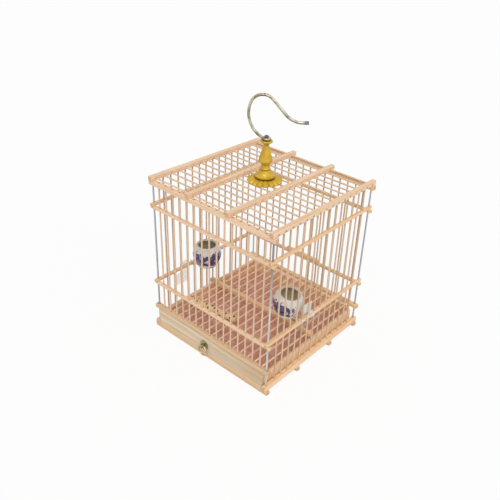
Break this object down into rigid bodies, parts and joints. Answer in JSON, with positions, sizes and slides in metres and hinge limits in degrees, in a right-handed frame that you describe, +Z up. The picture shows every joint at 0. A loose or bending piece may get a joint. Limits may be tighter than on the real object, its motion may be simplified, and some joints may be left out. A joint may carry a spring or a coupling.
{
  "type": "bird cage",
  "caption": "Square bamboo bird cage of pinned rails and thin sticks, with a pull-out tray, lift door, porcelain cups, perch and a turned roof ornament carrying a swivelling hook.",
  "frame": {"origin": "on the floor under the centre of the bounding box, the box including the pull at the front", "axes": "+Z up through the hook, X along the front, the front with the tray pull faces -Y"},
  "size_m": [0.215, 0.216, 0.3517],
  "materials": {
    "bamboo_rail": "planed bamboo, satin",
    "bamboo_stick": "drawn bamboo, satin",
    "tray_board": "planed pale wood",
    "plywood": "plywood with layered edge",
    "liner": "stained brown sheet, matt",
    "aged_brass": "aged, dull",
    "gold_ornament": "golden yellow, satin",
    "dark_screw": "blackened",
    "hook_metal": "pale brass plating, worn",
    "dark_cap": "matt",
    "rod_steel": "drawn",
    "zinc_steel": "zinc plated",
    "porcelain": "glazed opaque porcelain with indigo ornament",
    "clear_plastic": "translucent",
    "perch_wood": "knobbly twig, matt"
  },
  "bodies": {
    "frame": {"back_base_rail": "bamboo_rail", "back_lower_rail": "bamboo_rail", "back_middle_rail": "bamboo_rail", "back_sticks_left": "bamboo_stick", "back_sticks_right": "bamboo_stick", "back_sticks_short": "bamboo_stick", "back_top_rail": "bamboo_rail", "back_upper_rail": "bamboo_rail", "base_bar_back": "bamboo_rail", "base_bar_front": "bamboo_rail", "corner_rods": "rod_steel", "cup_bracket_left": "zinc_steel", "cup_bracket_right": "zinc_steel", "floor_bar": "bamboo_rail", "floor_sticks": "bamboo_stick", "front_base_rail": "bamboo_rail", "front_lower_rail": "bamboo_rail", "front_middle_rail": "bamboo_rail", "front_sticks": "bamboo_stick", "front_top_rail": "bamboo_rail", "front_upper_rail": "bamboo_rail", "left_base_rail": "bamboo_rail", "left_middle_rail": "bamboo_rail", "left_sticks": "bamboo_stick", "left_upper_rail": "bamboo_rail", "ornament_body": "gold_ornament", "ornament_petals": "gold_ornament", "ornament_screw": "dark_screw", "right_base_rail": "bamboo_rail", "right_middle_rail": "bamboo_rail", "right_sticks": "bamboo_stick", "right_upper_rail": "bamboo_rail", "roof_bar_inner_left": "bamboo_rail", "roof_bar_inner_right": "bamboo_rail", "roof_bar_left": "bamboo_rail", "roof_bar_right": "bamboo_rail", "roof_nut": "zinc_steel", "roof_sticks": "bamboo_stick", "roof_washer": "zinc_steel"},
    "tray": {"tray_front": "tray_board", "tray_left": "tray_board", "tray_right": "tray_board", "tray_back": "tray_board", "tray_bottom": "plywood", "tray_liner": "liner", "pull_plate": "aged_brass"},
    "pull_ring": {"pull_ring": "aged_brass"},
    "hook": {"hook": "hook_metal", "hook_tip": "dark_cap"},
    "cup_left": {"cup_left": "porcelain"},
    "cup_right": {"cup_right": "porcelain"},
    "feed_clip_left": {"feed_clip_left": "clear_plastic"},
    "feed_clip_right": {"feed_clip_right": "clear_plastic"},
    "door": {"door_sticks": "bamboo_stick", "door_bar": "bamboo_rail"},
    "perch": {"perch": "perch_wood"}
  },
  "joints": [
    {"name": "tray_slide", "type": "slide", "parent": "frame", "child": "tray", "axis": [0, -1, 0], "range_m": [0, 0.18]},
    {"name": "pull_ring_swing", "type": "hinge", "parent": "tray", "child": "pull_ring", "pos_m": [-0.006, -0.1046, 0.02035], "axis": [-1, 0, 0], "range_deg": [0, 150]},
    {"name": "hook_swivel", "type": "hinge", "parent": "frame", "child": "hook", "pos_m": [0, 0.003, 0.29435], "axis": [0, 0, 1], "continuous": true},
    {"name": "cup_left_lift", "type": "slide", "parent": "frame", "child": "cup_left", "axis": [0, 0, 1], "range_m": [0, 0.04]},
    {"name": "cup_right_lift", "type": "slide", "parent": "frame", "child": "cup_right", "axis": [0, 0, 1], "range_m": [0, 0.04]},
    {"name": "feed_clip_left_lift", "type": "slide", "parent": "frame", "child": "feed_clip_left", "axis": [0, 0, 1], "range_m": [0, 0.012]},
    {"name": "feed_clip_right_lift", "type": "slide", "parent": "frame", "child": "feed_clip_right", "axis": [0, 0, 1], "range_m": [0, 0.012]},
    {"name": "door_lift", "type": "slide", "parent": "frame", "child": "door", "axis": [0, 0, 1], "range_m": [0, 0.1]},
    {"name": "perch_lift", "type": "slide", "parent": "frame", "child": "perch", "axis": [0, 0, 1], "range_m": [0, 0.03]}
  ]
}
